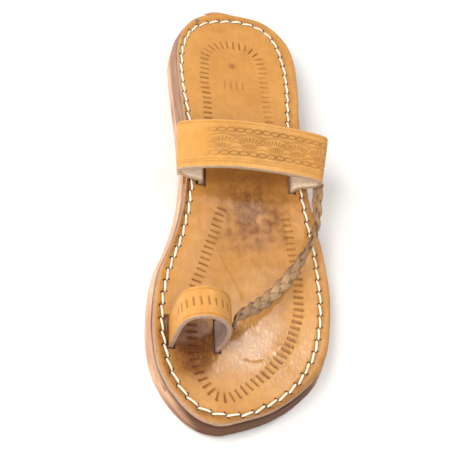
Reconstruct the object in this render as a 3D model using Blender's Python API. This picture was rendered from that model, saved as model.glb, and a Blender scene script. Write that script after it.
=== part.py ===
# A left sandal of tanned leather: a layered sole, an instep strap, a toe loop and a plaited thong.
# Metres, +Z up. The toe points to -Y, the big toe's side is -X, and the sole stands on Z = 0.

import math

import bmesh
import bpy
import numpy as np
from mathutils import Vector

# Sole
SOLE_LENGTH = 0.262
SOLE_WIDTH = 0.097
OUTSOLE_THICKNESS = 0.0080
FOOTBED_THICKNESS = 0.0030
LIFT_THICKNESS = 0.0070
TOE_SPRING = 0.0015
SIDE_SLOPE = 0.0016
LOWER_EDGE_ROUND = 0.0006
UPPER_EDGE_ROUND = 0.0012
LAYER_STEP = 0.0004
SEAM_GAP = 0.0003

# Where the sole changes along its length, as shares of the length from its middle
TOE_BREAK_SHARE = -0.36
WAIST_FRONT_SHARE = -0.117
WAIST_REAR_SHARE = 0.188
LIFT_BREAST_SHARE = 0.066

# Instep strap
INSTEP_WIDTH = 0.0285
INSTEP_THICKNESS = 0.0022
INSTEP_HEIGHT = 0.0162
INSTEP_FRONT_SHARE = 0.0143
INSTEP_MARGIN = 0.0072
INSTEP_SKEW = 0.0020
INSTEP_REAR_FLARE = 0.0052
INSTEP_SLOT_SLACK = 0.0020

# Toe loop
LOOP_WIDTH = 0.0160
LOOP_THICKNESS = 0.0024
LOOP_HEIGHT = 0.0280
LOOP_SPAN = 0.0230
LOOP_FRONT_SHARE = -0.350
LOOP_MARGIN = 0.0085
LOOP_LEAN = 0.0020
LOOP_INNER_SLACK = 0.0008
LOOP_OUTER_SLACK = 0.0024
LOOP_MEDIAL_TAB = 0.0050
LOOP_LATERAL_TAB = 0.0090

# Plaited thong
BRAID_WIDTH = 0.0072
BRAID_THICKNESS = 0.0036
BRAID_LAY = 0.0280
BRAID_SAG = 0.0079
BRAID_END_THICKNESS = 0.0020
BRAID_SEAT_GAP = 0.0008
BRAID_LOOP_SEAT = 0.0070
BRAID_LOOP_HEIGHT = 0.0165
BRAID_STRAP_SEAT = 0.0030
BRAID_STRAP_HEIGHT = 0.0076
BRAID_STRAP_SLOPE = 45
STRAND_COUNT = 3

# Rounding of a strap's cut edges, and the space beside a strap in its slot and in its pocket
STRAP_EDGE_ROUND = 0.0005
SLOT_END_GAP = 0.0012
SLOT_CORNER_ROUND = 0.0011
POCKET_GAP = 0.0004

# Strands and core of the thong, as shares of its width and thickness
STRAND_HALF_WIDTH_SHARE = 0.27
STRAND_HALF_THICKNESS_SHARE = 0.26
CORE_SHARE = 0.22

# Outline of the foot of the sole, in half lengths and half widths, from the toe to the heel
OUTLINE = [
    dict(along=along, medial=medial, lateral=lateral)
    for along, medial, lateral in (
        (-1.000, -0.340, -0.340),
        (-0.979, -0.540, -0.082),
        (-0.922, -0.722, 0.289),
        (-0.845, -0.866, 0.571),
        (-0.754, -0.961, 0.788),
        (-0.647, -1.000, 0.915),
        (-0.525, -0.994, 0.977),
        (-0.387, -0.938, 1.000),
        (-0.235, -0.790, 0.977),
        (-0.082, -0.685, 0.911),
        (0.071, -0.645, 0.835),
        (0.223, -0.649, 0.790),
        (0.414, -0.689, 0.804),
        (0.605, -0.730, 0.825),
        (0.735, -0.734, 0.821),
        (0.834, -0.680, 0.769),
        (0.910, -0.567, 0.660),
        (0.968, -0.371, 0.495),
        (1.000, 0.082, 0.082),
    )
]

# Middle line of the instep strap above the footbed: across in distances between its legs, height in
# arch heights, and how much of the rear flare each point takes
INSTEP_ARCH = [
    dict(across=across, height=height, flare=flare)
    for across, height, flare in (
        (0.000, 0.000, 0.00),
        (-0.004, 0.105, 0.00),
        (-0.075, 0.180, 0.00),
        (-0.176, 0.265, 0.00),
        (-0.239, 0.377, 0.00),
        (-0.262, 0.494, 0.00),
        (-0.239, 0.611, 0.00),
        (-0.172, 0.700, 0.00),
        (-0.031, 0.846, 0.00),
        (0.207, 0.981, 0.10),
        (0.461, 1.000, 0.30),
        (0.729, 0.951, 0.60),
        (0.987, 0.850, 0.90),
        (1.140, 0.780, 1.00),
        (1.206, 0.704, 1.00),
        (1.227, 0.605, 1.00),
        (1.203, 0.469, 0.95),
        (1.140, 0.352, 0.75),
        (1.055, 0.255, 0.30),
        (1.007, 0.115, 0.05),
        (1.000, 0.000, 0.00),
    )
]

# Middle line of the toe loop above the footbed, in distances between its legs and loop heights
LOOP_ARCH = [
    dict(across=across, height=height)
    for across, height in (
        (0.000, 0.000),
        (-0.004, 0.214),
        (0.004, 0.464),
        (0.030, 0.679),
        (0.109, 0.850),
        (0.265, 0.961),
        (0.491, 1.000),
        (0.717, 0.954),
        (0.904, 0.832),
        (1.013, 0.661),
        (1.060, 0.464),
        (1.055, 0.214),
        (1.000, 0.000),
    )
]

# The thong's way from the loop to the strap: along and side in shares of the distance between its
# seats, sag in shares of its greatest sag, roll of its wide face in degrees from level, and its
# width and thickness in shares of the plaited ones, where None is the flat end
BRAID_ROUTE = [
    dict(along=along, side=side, sag=sag, roll=roll, wide=wide, thick=thick)
    for along, side, sag, roll, wide, thick in (
        (-0.040, 0.019, 0.00, 101, 1.25, None),
        (-0.019, 0.008, 0.00, 101, 1.25, None),
        (-0.001, 0.003, 0.00, 101, 1.15, None),
        (0.087, 0.033, 0.17, 134, 1.00, 0.90),
        (0.174, 0.061, 0.56, 162, 1.00, 1.00),
        (0.256, 0.083, 0.78, 168, 1.00, 1.00),
        (0.335, 0.100, 0.81, 168, 1.00, 1.00),
        (0.411, 0.113, 0.69, 160, 1.00, 1.00),
        (0.486, 0.119, 0.50, 142, 1.00, 1.00),
        (0.560, 0.120, 0.30, 120, 0.98, 1.00),
        (0.632, 0.119, 0.12, 104, 0.96, 1.00),
        (0.708, 0.110, 0.00, 92, 0.94, 1.00),
        (0.786, 0.088, 0.04, 80, 0.92, 1.00),
        (0.870, 0.053, 0.12, 62, 0.92, 0.85),
        (0.944, 0.023, 0.19, 50, 0.95, None),
        (1.000, -0.000, -0.00, 45, 1.00, None),
        (1.039, -0.012, -0.01, 45, 1.00, None),
    )
]

# How finely curves are divided, and the length of a step where the sole bends
OUTLINE_STEPS = 3
BEND_STEP = 0.0055
ARCH_STEPS = 3
TAB_BEND_STEPS = 3
SLOT_CORNER_STEPS = 4
INSTEP_SECTION_STEPS = 5
LOOP_SECTION_STEPS = 3
BRAID_ROUTE_STEPS = 8
BRAID_STATIONS_PER_LAY = 22
BRAID_SIDES = 20

# Faces that meet at more than this many degrees are drawn with a sharp edge
SHARP_ANGLE = 40

# Leather colours as red, green and blue
FOOTBED_TAN = (0.62, 0.33, 0.10)
STRAP_TAN = (0.66, 0.37, 0.13)
SOLE_BROWN = (0.42, 0.20, 0.12)
LIFT_BROWN = (0.38, 0.19, 0.11)
RAW_BEIGE = (0.45, 0.32, 0.19)

TOE_BREAK = TOE_BREAK_SHARE * SOLE_LENGTH
WAIST_FRONT = WAIST_FRONT_SHARE * SOLE_LENGTH
WAIST_REAR = WAIST_REAR_SHARE * SOLE_LENGTH
LIFT_BREAST = LIFT_BREAST_SHARE * SOLE_LENGTH
INSTEP_FRONT = INSTEP_FRONT_SHARE * SOLE_LENGTH
LOOP_FRONT = LOOP_FRONT_SHARE * SOLE_LENGTH
TOE_END = -SOLE_LENGTH / 2


def clear_scene():
    for obj in list(bpy.data.objects):
        bpy.data.objects.remove(obj, do_unlink=True)


def new_collection(name):
    collection = bpy.data.collections.new(name)
    bpy.context.scene.collection.children.link(collection)
    return collection


def leather(name, color, roughness):
    material = bpy.data.materials.new(name)
    material.use_nodes = True
    shader = material.node_tree.nodes["Principled BSDF"]
    shader.inputs["Base Color"].default_value = (*color, 1.0)
    shader.inputs["Roughness"].default_value = roughness
    shader.inputs["Metallic"].default_value = 0.0
    return material


def smoothstep(share):
    share = min(max(share, 0.0), 1.0)
    return share * share * (3.0 - 2.0 * share)


def smooth_path(points, steps, closed=False):
    # A cubic through the points, with a tangent at each that weighs the two chords beside it; columns
    # after the third follow along
    points = np.array(points, dtype=float)
    count = len(points)
    spans = count if closed else count - 1
    chords = [points[(i + 1) % count] - points[i] for i in range(spans)]
    lengths = [np.linalg.norm(chord[:3]) for chord in chords]
    tangents = []
    for i in range(count):
        before = i - 1 if i > 0 or closed else 0
        after = i if i < spans else spans - 1
        a, b = lengths[before], lengths[after]
        tangents.append((chords[before] / a * b + chords[after] / b * a) / (a + b))
    path = []
    for i in range(spans):
        start, end = points[i], points[(i + 1) % count]
        leave = tangents[i] * lengths[i]
        arrive = tangents[(i + 1) % count] * lengths[i]
        for step in range(steps):
            t = step / steps
            path.append(
                (2 * t**3 - 3 * t**2 + 1) * start
                + (t**3 - 2 * t**2 + t) * leave
                + (3 * t**2 - 2 * t**3) * end
                + (t**3 - t**2) * arrive
            )
    if not closed:
        path.append(points[-1])
    return np.array(path)


def sole_rise(y):
    # How far the layers above the floor are bent up at this place along the sole
    waist = LIFT_THICKNESS * smoothstep((y - WAIST_FRONT) / (WAIST_REAR - WAIST_FRONT))
    toe = TOE_SPRING * (max(0.0, TOE_BREAK - y) / (TOE_BREAK - TOE_END)) ** 2
    return waist + toe


def footbed_top(y):
    return OUTSOLE_THICKNESS + FOOTBED_THICKNESS + sole_rise(y)


def outline_points():
    medial = [(row["medial"], row["along"]) for row in OUTLINE]
    lateral = [(row["lateral"], row["along"]) for row in reversed(OUTLINE[1:-1])]
    path = smooth_path(medial + lateral, OUTLINE_STEPS, closed=True)
    low, high = path.min(axis=0), path.max(axis=0)
    size = np.array((SOLE_WIDTH, SOLE_LENGTH))
    return (path - (low + high) / 2) / (high - low) * size


def inset_outline(distance):
    # The outline, each point moved inward by the same distance
    points = outline_points()
    forward = np.roll(points, -1, axis=0) - np.roll(points, 1, axis=0)
    forward /= np.linalg.norm(forward, axis=1)[:, None]
    inward = np.stack((forward[:, 1], -forward[:, 0]), axis=1)
    return points + inward * distance


def edge_x(y, side, inset):
    # Where the outline, set in by the inset, lies across the sole at y; side is -1 medial, 1 lateral
    points = inset_outline(inset)
    crossings = []
    for a, b in zip(points, np.roll(points, -1, axis=0)):
        if (a[1] - y) * (b[1] - y) <= 0 and a[1] != b[1]:
            crossings.append(a[0] + (b[0] - a[0]) * (y - a[1]) / (b[1] - a[1]))
    return max(crossings) if side > 0 else min(crossings)


def mesh_object(name, bm, collection, material=None):
    bmesh.ops.recalc_face_normals(bm, faces=bm.faces)
    mesh = bpy.data.meshes.new(name)
    bm.to_mesh(mesh)
    bm.free()
    obj = bpy.data.objects.new(name, mesh)
    collection.objects.link(obj)
    if material:
        mesh.materials.append(material)
        mesh.shade_smooth()
        mesh.set_sharp_from_angle(angle=math.radians(SHARP_ANGLE))
    return obj


def loft(rings):
    # A closed skin through rings of as many points each, with a cap on the first and on the last
    bm = bmesh.new()
    loops = [[bm.verts.new(point) for point in ring] for ring in rings]
    for low, high in zip(loops, loops[1:]):
        for i in range(len(low)):
            j = (i + 1) % len(low)
            bm.faces.new((low[i], low[j], high[j], high[i]))
    bm.faces.new(reversed(loops[0]))
    bm.faces.new(loops[-1])
    return bm


def cut_across(bm, start, end):
    # Edges straight across the sole at even steps, so that it can bend there
    count = math.ceil((end - start) / BEND_STEP)
    for i in range(count + 1):
        y = start + (end - start) * i / count
        geometry = list(bm.verts) + list(bm.edges) + list(bm.faces)
        bmesh.ops.bisect_plane(bm, geom=geometry, dist=1e-6, plane_co=(0, y, 0), plane_no=(0, 1, 0))


def sole_layer(name, rings, base, collection, material):
    # A flat layer from rings of inset and height, which is then bent up along the sole
    bm = loft([[(x, y, height) for x, y in inset_outline(inset)] for inset, height in rings])
    cut_across(bm, TOE_END, TOE_BREAK)
    cut_across(bm, WAIST_FRONT, WAIST_REAR)
    bmesh.ops.triangulate(bm, faces=bm.faces)
    for vert in bm.verts:
        vert.co.z += base + sole_rise(vert.co.y)
    return mesh_object(name, bm, collection, material)


def build_outsole(collection, material):
    top = OUTSOLE_THICKNESS - SEAM_GAP
    rings = (
        (LOWER_EDGE_ROUND, 0.0),
        (0.0, LOWER_EDGE_ROUND),
        (SIDE_SLOPE, top),
    )
    return sole_layer("outsole", rings, 0.0, collection, material)


def build_footbed(collection, material):
    side = SIDE_SLOPE + LAYER_STEP
    ease = UPPER_EDGE_ROUND * (1 - math.cos(math.pi / 4))
    rings = (
        (side, 0.0),
        (side, FOOTBED_THICKNESS - UPPER_EDGE_ROUND),
        (side + ease, FOOTBED_THICKNESS - ease),
        (side + UPPER_EDGE_ROUND, FOOTBED_THICKNESS),
    )
    return sole_layer("footbed", rings, OUTSOLE_THICKNESS, collection, material)


def build_heel_lift(collection, material):
    # Heights here are shares of the lift, whose top follows the bend of the outsole above it
    edge = LOWER_EDGE_ROUND / LIFT_THICKNESS
    rings = (
        (LOWER_EDGE_ROUND, 0.0),
        (0.0, edge),
        (LAYER_STEP, 1.0),
    )
    bm = loft([[(x, y, height) for x, y in inset_outline(inset)] for inset, height in rings])
    geometry = list(bm.verts) + list(bm.edges) + list(bm.faces)
    breast = bmesh.ops.bisect_plane(
        bm,
        geom=geometry,
        dist=1e-6,
        plane_co=(0, LIFT_BREAST, 0),
        plane_no=(0, 1, 0),
        clear_inner=True,
    )
    rim = [item for item in breast["geom_cut"] if isinstance(item, bmesh.types.BMEdge)]
    bmesh.ops.contextual_create(bm, geom=rim)
    cut_across(bm, LIFT_BREAST + BEND_STEP, WAIST_REAR)
    bmesh.ops.triangulate(bm, faces=bm.faces)
    for vert in bm.verts:
        vert.co.z *= sole_rise(vert.co.y) - SEAM_GAP
    return mesh_object("heel_lift", bm, collection, material)


def band_section(width, thickness, steps):
    # A strap's cross-section with eased edges: share of the width, and height off the middle line
    half = thickness / 2
    ease = STRAP_EDGE_ROUND
    shares = [ease / width + (1 - 2 * ease / width) * i / steps for i in range(steps + 1)]
    top = [(share, half) for share in shares]
    bottom = [(share, -half) for share in reversed(shares)]
    rear = [(1.0, half - ease), (1.0, ease - half)]
    front = [(0.0, ease - half), (0.0, half - ease)]
    return top + rear + bottom + front


def tab_points(leg_x, end_x, thickness):
    # The way out of a pocket: from the tab's end under the footbed, round the bend to the footbed's top
    outward = math.copysign(1.0, end_x - leg_x)
    level = -(FOOTBED_THICKNESS + SEAM_GAP + thickness / 2)
    bend = thickness / 2 + SEAM_GAP
    points = [(end_x, level)]
    for i in range(TAB_BEND_STEPS + 1):
        angle = math.pi / 2 * i / TAB_BEND_STEPS
        x = leg_x + outward * bend * (1 - math.sin(angle))
        points.append((x, level + bend * (1 - math.cos(angle))))
    return points


def strap_profiles(arch, legs, ends, height, thickness, flare):
    # The strap's middle line at its front edge and at its rear edge, from one tab's end to the other
    span = legs[1] - legs[0]
    front_line = [(legs[0] + row["across"] * span, row["height"] * height) for row in arch]
    rear_line = [
        (x + row.get("flare", 0.0) * flare, z) for (x, z), row in zip(front_line, arch)
    ]
    profiles = []
    for line, tips in ((front_line, ends[0]), (rear_line, ends[1])):
        medial = tab_points(legs[0], tips[0], thickness)
        lateral = tab_points(legs[1], tips[1], thickness)
        over = smooth_path(line, ARCH_STEPS)
        profiles.append(np.array(medial + [tuple(point) for point in over] + lateral[::-1]))
    return profiles


def normals_of(profile):
    ahead = np.vstack((profile[1:], profile[-1:]))
    behind = np.vstack((profile[:1], profile[:-1]))
    along = ahead - behind
    along /= np.linalg.norm(along, axis=1)[:, None]
    return np.stack((-along[:, 1], along[:, 0]), axis=1)


def strap_rings(profiles, section, place):
    # One ring for each point of the middle line; place gives the y of a share across the strap
    normals = [normals_of(profile) for profile in profiles]
    rings = []
    for i in range(len(profiles[0])):
        ring = []
        for share, offset in section:
            middle = profiles[0][i] * (1 - share) + profiles[1][i] * share
            normal = normals[0][i] * (1 - share) + normals[1][i] * share
            normal /= np.linalg.norm(normal)
            x, height = middle + normal * offset
            y = place(x, height, share)
            ring.append((x, y, footbed_top(y) + height))
        rings.append(ring)
    return rings


def slot_cutter(name, low_x, high_x, low_y, high_y, collection):
    # An upright cutter with rounded corners, which reaches past the bent footbed on both sides
    tall = SOLE_WIDTH
    bpy.ops.mesh.primitive_cube_add(size=1.0)
    obj = bpy.context.object
    obj.name = name
    for vert in obj.data.vertices:
        vert.co.x = (low_x + high_x) / 2 + vert.co.x * (high_x - low_x)
        vert.co.y = (low_y + high_y) / 2 + vert.co.y * (high_y - low_y)
        vert.co.z *= tall
    bm = bmesh.new()
    bm.from_mesh(obj.data)
    upright = [edge for edge in bm.edges if abs(edge.verts[0].co.z - edge.verts[1].co.z) > tall / 2]
    bmesh.ops.bevel(
        bm,
        geom=upright,
        offset=SLOT_CORNER_ROUND,
        segments=SLOT_CORNER_STEPS,
        profile=0.5,
        affect="EDGES",
    )
    bm.to_mesh(obj.data)
    bm.free()
    hide_cutter(obj, collection)
    return obj


def pocket_cutter(name, start_x, end_x, low_y, high_y, thickness, collection):
    # A trough in the outsole's top for a strap's tab, whose floor follows the bend of the sole
    depth = SEAM_GAP + thickness + POCKET_GAP
    steps = math.ceil((high_y - low_y) / BEND_STEP)
    stations = [low_y + (high_y - low_y) * i / steps for i in range(steps + 1)]
    rings = []
    for x in sorted((start_x, end_x)):
        floor = [(x, y, OUTSOLE_THICKNESS + sole_rise(y) - depth) for y in stations]
        roof = [(x, y, OUTSOLE_THICKNESS + sole_rise(y) + depth) for y in reversed(stations)]
        rings.append(floor + roof)
    obj = mesh_object(name, loft(rings), collection)
    hide_cutter(obj, collection)
    return obj


def hide_cutter(obj, collection):
    for owner in list(obj.users_collection):
        owner.objects.unlink(obj)
    collection.objects.link(obj)
    obj.hide_render = True
    obj.display_type = "WIRE"


def cut(obj, cutter):
    modifier = obj.modifiers.new(cutter.name, "BOOLEAN")
    modifier.operation = "DIFFERENCE"
    modifier.solver = "EXACT"
    modifier.object = cutter


def fit_strap_end(name, leg_x, tip_x, thickness, span_y, slack, footbed, outsole, cutters):
    # Slot in the footbed and pocket in the outsole for one leg; slack is inward and outward of it
    outward = math.copysign(1.0, tip_x - leg_x)
    inner = leg_x - outward * (thickness / 2 + slack[0])
    outer = leg_x + outward * (thickness / 2 + SEAM_GAP + slack[1])
    low_x, high_x = sorted((inner, outer))
    low_y = span_y[0] - SLOT_END_GAP
    high_y = span_y[1] + SLOT_END_GAP
    slot = slot_cutter(name + "_slot", low_x, high_x, low_y, high_y, cutters)
    cut(footbed, slot)
    start = leg_x - outward * (thickness / 2 + POCKET_GAP)
    low_y = span_y[0] - POCKET_GAP
    high_y = span_y[1] + POCKET_GAP
    cut(outsole, pocket_cutter(name + "_pocket", start, tip_x, low_y, high_y, thickness, cutters))


def instep_legs():
    middle = INSTEP_FRONT + INSTEP_WIDTH / 2
    side = SIDE_SLOPE + LAYER_STEP
    return [edge_x(middle, turn, side) - turn * INSTEP_MARGIN for turn in (-1, 1)]


def build_instep_strap(footbed, outsole, parts, cutters, material):
    legs = instep_legs()

    def tip(y, turn):
        return edge_x(y, turn, SIDE_SLOPE) - turn * SEAM_GAP

    def skew(x):
        return INSTEP_SKEW * (x - legs[0]) / (legs[1] - legs[0])

    def place(x, height, share):
        reach = min(max(x, legs[0]), legs[1])
        return INSTEP_FRONT + INSTEP_WIDTH * share + skew(reach)

    ends = [
        [tip(y + skew(leg), turn) for leg, turn in zip(legs, (-1, 1))]
        for y in (INSTEP_FRONT, INSTEP_FRONT + INSTEP_WIDTH)
    ]
    profiles = strap_profiles(
        INSTEP_ARCH, legs, ends, INSTEP_HEIGHT, INSTEP_THICKNESS, INSTEP_REAR_FLARE
    )
    section = band_section(INSTEP_WIDTH, INSTEP_THICKNESS, INSTEP_SECTION_STEPS)

    strap = mesh_object("instep_strap", loft(strap_rings(profiles, section, place)), parts, material)
    for i, turn in enumerate((-1, 1)):
        span_y = [place(legs[i], 0.0, share) for share in (0.0, 1.0)]
        beyond = turn * (SOLE_WIDTH / 2 + SIDE_SLOPE)
        name = "instep_medial" if turn < 0 else "instep_lateral"
        fit_strap_end(
            name, legs[i], beyond, INSTEP_THICKNESS, span_y, (INSTEP_SLOT_SLACK, 0.0),
            footbed, outsole, cutters,
        )
    return strap


def loop_legs():
    middle = LOOP_FRONT + LOOP_WIDTH / 2
    medial = edge_x(middle, -1, SIDE_SLOPE + LAYER_STEP) + LOOP_MARGIN
    return [medial, medial + LOOP_SPAN]


def build_toe_loop(footbed, outsole, parts, cutters, material):
    legs = loop_legs()
    tips = [legs[0] - LOOP_MEDIAL_TAB, legs[1] + LOOP_LATERAL_TAB]
    profiles = strap_profiles(LOOP_ARCH, legs, [tips, tips], LOOP_HEIGHT, LOOP_THICKNESS, 0.0)
    section = band_section(LOOP_WIDTH, LOOP_THICKNESS, LOOP_SECTION_STEPS)

    def place(x, height, share):
        return LOOP_FRONT + LOOP_WIDTH * share + LOOP_LEAN * max(0.0, height) / LOOP_HEIGHT

    loop = mesh_object("toe_loop", loft(strap_rings(profiles, section, place)), parts, material)
    span_y = [place(0.0, 0.0, share) for share in (0.0, 1.0)]
    slacks = ((LOOP_INNER_SLACK, LOOP_OUTER_SLACK), (LOOP_INNER_SLACK, 0.0))
    for i, name in enumerate(("loop_medial", "loop_lateral")):
        outward = math.copysign(1.0, tips[i] - legs[i])
        reach = tips[i] + outward * SLOT_END_GAP
        fit_strap_end(
            name, legs[i], reach, LOOP_THICKNESS, span_y, slacks[i], footbed, outsole, cutters
        )
    return loop


def lateral_side(arch, legs, height, rise):
    # Where the lateral side of an arch has its middle line, at a height above the footbed
    span = legs[1] - legs[0]
    line = smooth_path([(row["across"] * span, row["height"] * height) for row in arch], ARCH_STEPS)
    top = int(np.argmax(line[:, 1]))
    falling = line[top:][::-1]
    return legs[0] + float(np.interp(rise, falling[:, 1], falling[:, 0]))


def braid_seats():
    # The points of the thong's middle line that rest beside the loop and under the strap's side,
    # each as x, y and height above the footbed
    off = BRAID_SEAT_GAP + BRAID_END_THICKNESS / 2
    loop_x = lateral_side(LOOP_ARCH, loop_legs(), LOOP_HEIGHT, BRAID_LOOP_HEIGHT)
    loop_x += LOOP_THICKNESS / 2 + off
    loop_y = LOOP_FRONT + LOOP_WIDTH - BRAID_LOOP_SEAT
    reach = INSTEP_THICKNESS / 2 + off
    slope = math.radians(BRAID_STRAP_SLOPE)
    strap_x = lateral_side(INSTEP_ARCH, instep_legs(), INSTEP_HEIGHT, BRAID_STRAP_HEIGHT)
    strap_x += INSTEP_REAR_FLARE * BRAID_STRAP_SEAT / INSTEP_WIDTH + reach * math.sin(slope)
    strap_y = INSTEP_FRONT + INSTEP_SKEW + BRAID_STRAP_SEAT
    strap_height = BRAID_STRAP_HEIGHT - reach * math.cos(slope)
    return Vector((loop_x, loop_y, BRAID_LOOP_HEIGHT)), Vector((strap_x, strap_y, strap_height))


def braid_route():
    # Rows of x, y, z, roll, width and thickness along the thong
    start, end = braid_seats()
    low, high = start.z, end.z
    start, end = start.to_2d(), end.to_2d()
    run = end - start
    side = Vector((run.y, -run.x))
    rows = []
    for row in BRAID_ROUTE:
        spot = start + run * row["along"] + side * row["side"]
        share = min(max(row["along"], 0.0), 1.0)
        height = low + (high - low) * share
        height -= BRAID_SAG * row["sag"]
        thick = BRAID_END_THICKNESS
        if row["thick"] is not None:
            thick = row["thick"] * BRAID_THICKNESS
        width = row["wide"] * BRAID_WIDTH
        z = footbed_top(spot.y) + height
        rows.append((spot.x, spot.y, z, math.radians(row["roll"]), width, thick))
    return rows


def plait_radius(angle, phase):
    # Reach of the plaited strands from their common middle, for a plait one wide and one thick
    half_wide, half_thick = STRAND_HALF_WIDTH_SHARE, STRAND_HALF_THICKNESS_SHARE
    ux, uy = math.cos(angle), math.sin(angle)
    reach = CORE_SHARE
    for k in range(STRAND_COUNT):
        turn = phase + 2 * math.pi * k / STRAND_COUNT
        cx = (0.5 - half_wide) * math.sin(turn)
        cy = (0.5 - half_thick) * math.sin(2 * turn)
        a = (ux / half_wide) ** 2 + (uy / half_thick) ** 2
        b = -2 * (ux * cx / half_wide**2 + uy * cy / half_thick**2)
        c = (cx / half_wide) ** 2 + (cy / half_thick) ** 2 - 1
        under = b * b - 4 * a * c
        if under > 0:
            reach = max(reach, (-b + math.sqrt(under)) / (2 * a))
    return reach


def build_braid(parts, material):
    dense = smooth_path(braid_route(), BRAID_ROUTE_STEPS)
    spans = np.linalg.norm(np.diff(dense[:, :3], axis=0), axis=1)
    lengths = np.concatenate(([0.0], np.cumsum(spans)))
    count = round(lengths[-1] / BRAID_LAY * BRAID_STATIONS_PER_LAY)
    stations = np.linspace(0.0, lengths[-1], count + 1)
    rows = np.stack([np.interp(stations, lengths, column) for column in dense.T], axis=1)
    rings = []
    for i, (x, y, z, roll, width, thick) in enumerate(rows):
        ahead = rows[min(i + 1, count)][:3]
        behind = rows[max(i - 1, 0)][:3]
        tangent = Vector(ahead - behind).normalized()
        level = tangent.cross(Vector((0, 0, 1))).normalized()
        upright = level.cross(tangent)
        wide = level * math.cos(roll) + upright * math.sin(roll)
        face = tangent.cross(wide)
        phase = 2 * math.pi * stations[i] / BRAID_LAY
        ring = []
        for k in range(BRAID_SIDES):
            angle = 2 * math.pi * k / BRAID_SIDES
            reach = plait_radius(angle, phase)
            offset = wide * (reach * math.cos(angle) * width) + face * (reach * math.sin(angle) * thick)
            ring.append(Vector((x, y, z)) + offset)
        rings.append(ring)
    return mesh_object("braid", loft(rings), parts, material)


def main():
    clear_scene()
    parts = new_collection("leather_sandal")
    cutters = new_collection("sandal_cutters")
    outsole = build_outsole(parts, leather("outsole_leather", SOLE_BROWN, 0.7))
    build_heel_lift(parts, leather("heel_lift_leather", LIFT_BROWN, 0.75))
    footbed = build_footbed(parts, leather("footbed_leather", FOOTBED_TAN, 0.45))
    build_instep_strap(footbed, outsole, parts, cutters, leather("instep_strap_leather", STRAP_TAN, 0.45))
    build_toe_loop(footbed, outsole, parts, cutters, leather("toe_loop_leather", STRAP_TAN, 0.45))
    build_braid(parts, leather("braid_leather", RAW_BEIGE, 0.8))


main()
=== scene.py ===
import math

import bpy
import numpy as np
from mathutils import Matrix, Vector


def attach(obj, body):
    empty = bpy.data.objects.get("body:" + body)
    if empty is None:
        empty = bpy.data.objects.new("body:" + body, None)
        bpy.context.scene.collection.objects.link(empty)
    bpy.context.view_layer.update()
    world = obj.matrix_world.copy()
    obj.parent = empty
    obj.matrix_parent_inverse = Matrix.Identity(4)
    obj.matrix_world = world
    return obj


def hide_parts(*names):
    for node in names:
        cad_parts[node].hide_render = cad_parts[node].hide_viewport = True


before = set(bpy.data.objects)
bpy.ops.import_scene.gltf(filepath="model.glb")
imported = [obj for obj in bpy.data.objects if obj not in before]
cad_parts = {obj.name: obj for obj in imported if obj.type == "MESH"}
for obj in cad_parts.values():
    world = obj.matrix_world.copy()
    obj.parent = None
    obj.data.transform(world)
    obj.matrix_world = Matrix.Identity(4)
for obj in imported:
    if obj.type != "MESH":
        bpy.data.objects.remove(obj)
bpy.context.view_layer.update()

mm = 0.001
scene = bpy.context.scene
scene.view_settings.view_transform = "Standard"

# The sandal lies with its toe towards -Y and its big toe's side towards -X, on the floor at Z = 0


def ramp(low, high, value):  # smooth step from 0 to 1
    t = np.clip((np.asarray(value, float) - low) / (high - low), 0.0, 1.0)
    return t * t * (3.0 - 2.0 * t)


def bell(value, width):
    return np.exp(-((np.asarray(value, float) / width) ** 2))


def wander(x, y, size, seed):  # soft uneven field from -1 to 1, x and y in mm
    total = np.zeros(np.broadcast(x, y).shape)
    for k in range(6):
        turn = seed * 1.7 + k * 2.399
        reach = size * (0.6 + 0.17 * k)
        total += np.sin((x * math.cos(turn) + y * math.sin(turn)) * 6.283 / reach + seed * 5.1 + k * 1.3)
    return total / 3.2


def smoothPath(points, steps, closed=False):  # cubic through the points, weighed by its chords
    points = np.array(points, float)
    count = len(points)
    spans = count if closed else count - 1
    chords = [points[(i + 1) % count] - points[i] for i in range(spans)]
    lengths = [np.linalg.norm(c[:3]) for c in chords]
    tangents = []
    for i in range(count):
        before = i - 1 if i > 0 or closed else 0
        after = i if i < spans else spans - 1
        a, b = lengths[before], lengths[after]
        tangents.append((chords[before] / a * b + chords[after] / b * a) / (a + b))
    path = []
    for i in range(spans):
        start, end = points[i], points[(i + 1) % count]
        leave, arrive = tangents[i] * lengths[i], tangents[(i + 1) % count] * lengths[i]
        for t in np.arange(steps) / steps:
            path.append((2 * t**3 - 3 * t**2 + 1) * start + (t**3 - 2 * t**2 + t) * leave
                        + (3 * t**2 - 2 * t**3) * end + (t**3 - t**2) * arrive)
    if not closed:
        path.append(points[-1])
    return np.array(path)


def lengthsAlong(path):
    return np.concatenate(([0.0], np.cumsum(np.linalg.norm(np.diff(path, axis=0), axis=1))))


def sampled(path, lengths, at):  # the path's rows at given lengths along it
    return np.stack([np.interp(at, lengths, column) for column in path.T], axis=1)


def evenPath(path, count):  # the same line with its points evenly spaced
    lengths = lengthsAlong(path)
    return sampled(path, lengths, np.linspace(0.0, lengths[-1], count))


def unit(vectors):
    return vectors / np.linalg.norm(vectors, axis=-1)[..., None]


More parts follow.
